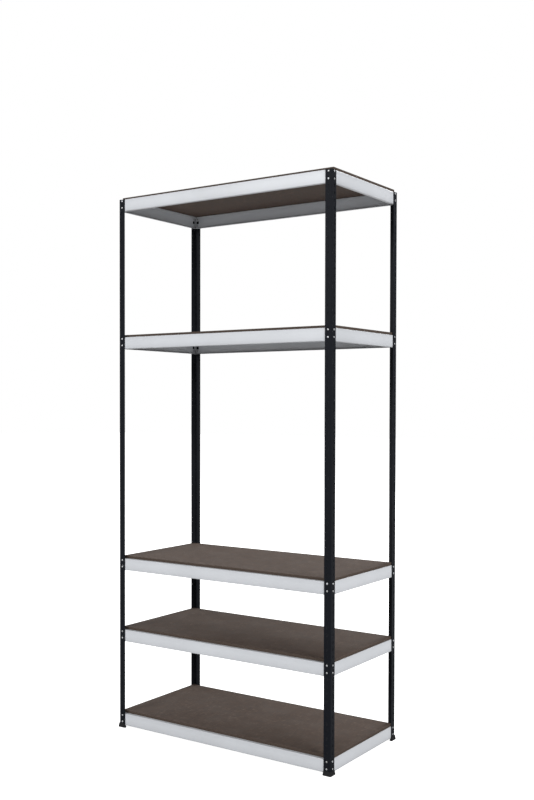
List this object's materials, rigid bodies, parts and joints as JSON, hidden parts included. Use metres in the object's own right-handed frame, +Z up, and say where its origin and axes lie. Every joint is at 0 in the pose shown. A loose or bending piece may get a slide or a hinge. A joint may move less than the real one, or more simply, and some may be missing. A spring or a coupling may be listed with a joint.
{
  "type": "boltless shelving unit",
  "caption": "Boltless steel shelving: slotted angle posts on plastic feet, folded beams hooked in by rivets, loose boards lying on the beams.",
  "frame": {"origin": "on the floor at the middle of the footprint", "axes": "+Z up, X along the long side, the front faces -Y"},
  "size_m": [0.9218, 0.4618, 1.9727],
  "materials": {
    "post_paint": "near-black powder coat, satin",
    "beam_paint": "light grey powder coat, satin",
    "rivet_zinc": "zinc-plated, dull",
    "deck_board": "dark brown pressed board, dull",
    "foot_plastic": "moulded, matte"
  },
  "bodies": {
    "frame": {"post_front_left": "post_paint", "foot_front_left": "foot_plastic", "post_front_right": "post_paint", "foot_front_right": "foot_plastic", "post_back_right": "post_paint", "foot_back_right": "foot_plastic", "post_back_left": "post_paint", "foot_back_left": "foot_plastic", "beam_front_1": "beam_paint", "beam_right_1": "beam_paint", "beam_back_1": "beam_paint", "beam_left_1": "beam_paint", "rivets_1": "rivet_zinc", "beam_front_2": "beam_paint", "beam_right_2": "beam_paint", "beam_back_2": "beam_paint", "beam_left_2": "beam_paint", "rivets_2": "rivet_zinc", "beam_front_3": "beam_paint", "beam_right_3": "beam_paint", "beam_back_3": "beam_paint", "beam_left_3": "beam_paint", "rivets_3": "rivet_zinc", "beam_front_4": "beam_paint", "beam_right_4": "beam_paint", "beam_back_4": "beam_paint", "beam_left_4": "beam_paint", "rivets_4": "rivet_zinc", "beam_front_5": "beam_paint", "beam_right_5": "beam_paint", "beam_back_5": "beam_paint", "beam_left_5": "beam_paint", "rivets_5": "rivet_zinc"},
    "board_1": {"deck_1": "deck_board"},
    "board_2": {"deck_2": "deck_board"},
    "board_3": {"deck_3": "deck_board"},
    "board_4": {"deck_4": "deck_board"},
    "board_5": {"deck_5": "deck_board"}
  },
  "joints": [
    {"name": "deck_1_lift", "type": "slide", "parent": "frame", "child": "board_1", "axis": [0, 0, 1], "range_m": [0, 0.06]},
    {"name": "deck_2_lift", "type": "slide", "parent": "frame", "child": "board_2", "axis": [0, 0, 1], "range_m": [0, 0.06]},
    {"name": "deck_3_lift", "type": "slide", "parent": "frame", "child": "board_3", "axis": [0, 0, 1], "range_m": [0, 0.06]},
    {"name": "deck_4_lift", "type": "slide", "parent": "frame", "child": "board_4", "axis": [0, 0, 1], "range_m": [0, 0.06]},
    {"name": "deck_5_lift", "type": "slide", "parent": "frame", "child": "board_5", "axis": [0, 0, 1], "range_m": [0, 0.06]}
  ]
}
